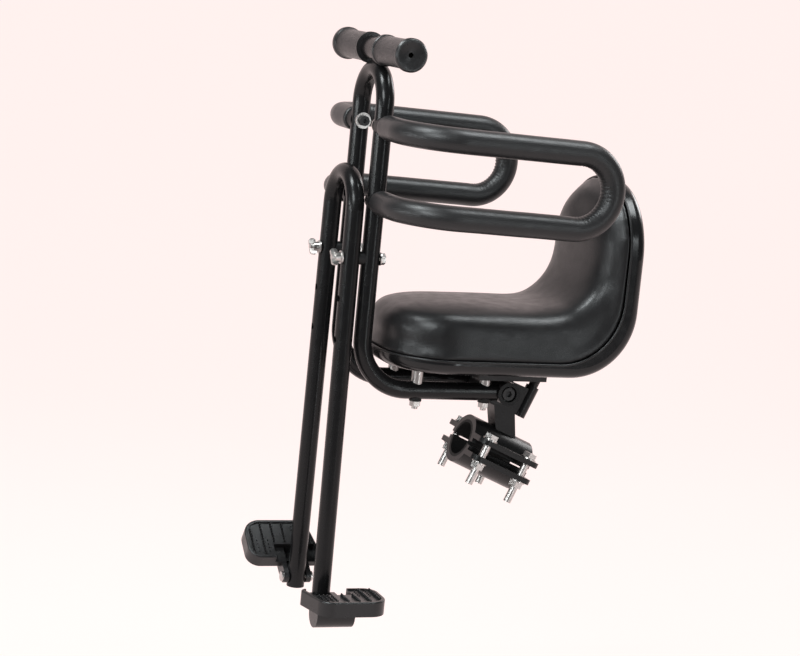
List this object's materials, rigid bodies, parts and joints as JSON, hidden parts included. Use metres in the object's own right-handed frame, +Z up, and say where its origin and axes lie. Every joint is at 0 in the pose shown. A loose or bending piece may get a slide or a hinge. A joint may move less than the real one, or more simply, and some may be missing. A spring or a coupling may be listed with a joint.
{
  "type": "front bicycle child seat",
  "caption": "Front bicycle child seat: padded L-shaped seat on a bent tube frame with armrests, grips, footrest pedals and a top tube clamp.",
  "frame": {"origin": "middle of the clamp bore, on the axis of the top tube it grips", "axes": "+X forward, +Y to the left of the bicycle, +Z up along the upright legs of the seat frame"},
  "size_m": [0.3473, 0.2834, 0.5774],
  "materials": {
    "frame_paint": "gloss black powder coat",
    "grip_rubber": "matt",
    "arm_tube": "gloss black",
    "pad_cover": "satin leatherette",
    "black_plastic": "matt",
    "zinc": "zinc plated",
    "black_bolt": "black oxide",
    "pedal_plastic": "satin",
    "shell_plastic": "satin",
    "cushion_cover": "satin leatherette",
    "bracket_grey": "satin dark grey",
    "clamp_paint": "satin black",
    "liner_rubber": "matt"
  },
  "bodies": {
    "clamp": {"clamp_upper": "clamp_paint", "clamp_lower": "clamp_paint", "liner_upper": "liner_rubber", "liner_lower": "liner_rubber", "clamp_washers": "zinc", "clamp_bolts": "zinc", "clamp_nuts": "zinc", "tilt_stop_screw": "black_bolt"},
    "seat": {"main_frame": "frame_paint", "footrest_frame": "frame_paint", "left_grip": "grip_rubber", "right_grip": "grip_rubber", "left_armrest_tube": "arm_tube", "right_armrest_tube": "arm_tube", "left_armrest_pad": "pad_cover", "right_armrest_pad": "pad_cover", "armrest_collars": "black_plastic", "armrest_plugs": "black_plastic", "leg_caps": "black_plastic", "footrest_spacers": "black_plastic", "seat_saddles": "black_plastic", "armrest_washers": "zinc", "seat_spacers": "zinc", "footrest_washers": "zinc", "footrest_bolts": "zinc", "wing_nuts": "zinc", "pedal_pins": "zinc", "seat_nuts": "zinc", "seat_bolts": "zinc", "armrest_bolts": "black_bolt", "pivot_bolt": "black_bolt", "pivot_nut": "black_bolt", "pivot_washers": "black_bolt", "seat_shell": "shell_plastic", "seat_cushion": "cushion_cover", "seat_bracket": "bracket_grey", "stop_pad": "liner_rubber"},
    "left_pedal": {"left_pedal": "pedal_plastic"},
    "right_pedal": {"right_pedal": "pedal_plastic"}
  },
  "joints": [
    {"name": "seat_tilt", "type": "hinge", "parent": "clamp", "child": "seat", "pos_m": [0.005, 0, 0.0695], "axis": [0, 1, 0], "range_deg": [0, 20]},
    {"name": "left_pedal_fold", "type": "hinge", "parent": "seat", "child": "left_pedal", "pos_m": [0.1833, 0.03936, -0.143], "axis": [1, 0, 0], "range_deg": [0, 47]},
    {"name": "right_pedal_fold", "type": "hinge", "parent": "seat", "child": "right_pedal", "pos_m": [0.1833, -0.03936, -0.143], "axis": [-1, 0, 0], "range_deg": [-36, 11]}
  ]
}
